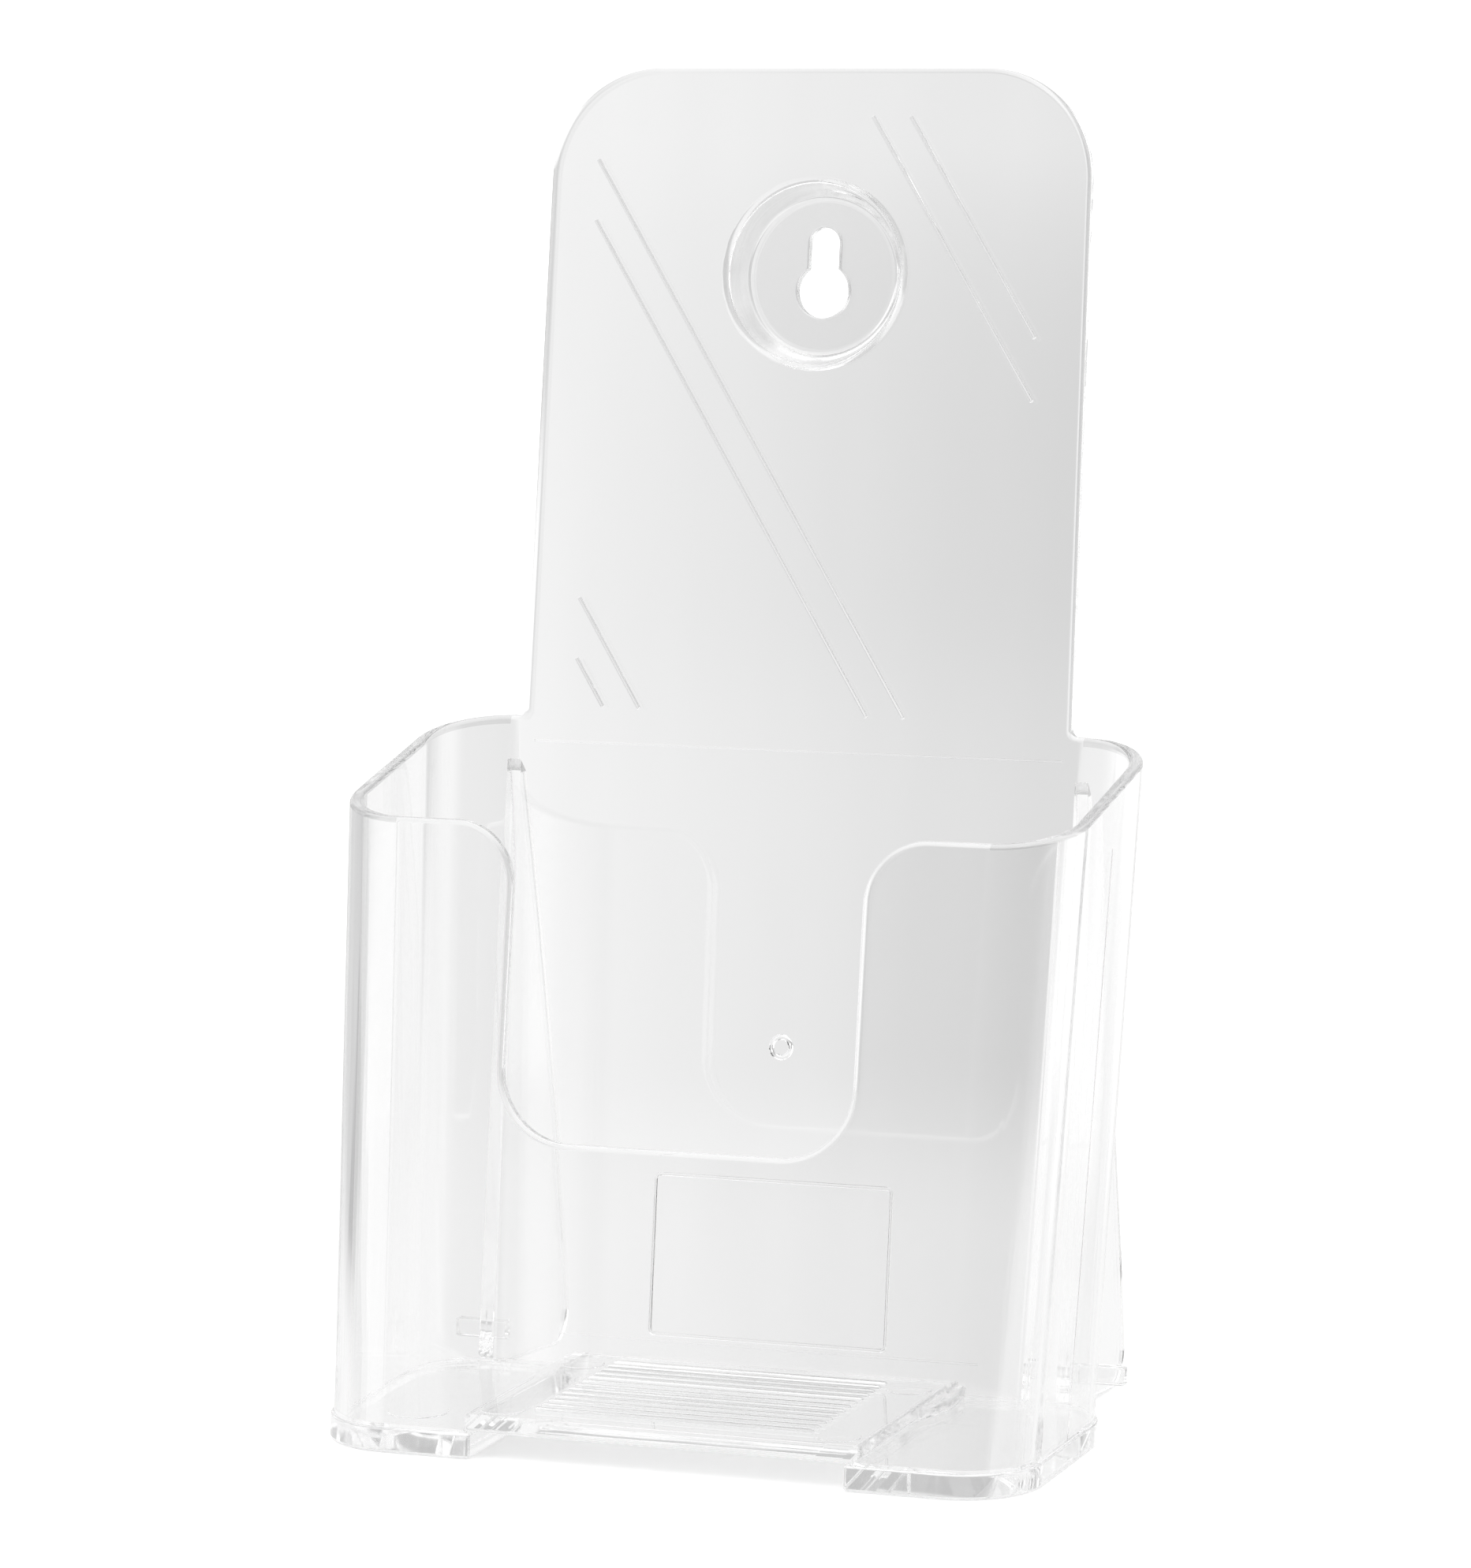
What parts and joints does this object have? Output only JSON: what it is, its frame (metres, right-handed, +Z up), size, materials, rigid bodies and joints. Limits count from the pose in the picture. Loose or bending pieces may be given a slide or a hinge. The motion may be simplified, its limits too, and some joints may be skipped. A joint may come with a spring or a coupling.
{
  "type": "leaflet rack",
  "caption": "Clear plastic leaflet holder: a deep pocket with a U-shaped thumb cut-out, a tall leaning back panel with a keyhole, and rear support fins.",
  "frame": {"origin": "on the ground, at the middle of the rack's width and depth", "axes": "+X to the right as seen from the front, +Y to the rear, +Z up"},
  "size_m": [0.1114, 0.0768, 0.193],
  "materials": {
    "clear_plastic": "clear, colourless, polished injection-moulded polystyrene"
  },
  "bodies": {
    "root": {"display_panel": "clear_plastic", "keyhole_cup": "clear_plastic", "rear_wall": "clear_plastic", "front_wall": "clear_plastic", "left_side_wall": "clear_plastic", "right_side_wall": "clear_plastic", "front_left_corner": "clear_plastic", "front_right_corner": "clear_plastic", "rear_left_corner": "clear_plastic", "rear_right_corner": "clear_plastic", "platform": "clear_plastic", "left_foot": "clear_plastic", "right_foot": "clear_plastic", "left_fin": "clear_plastic", "right_fin": "clear_plastic", "left_tab": "clear_plastic", "right_tab": "clear_plastic"}
  },
  "joints": []
}
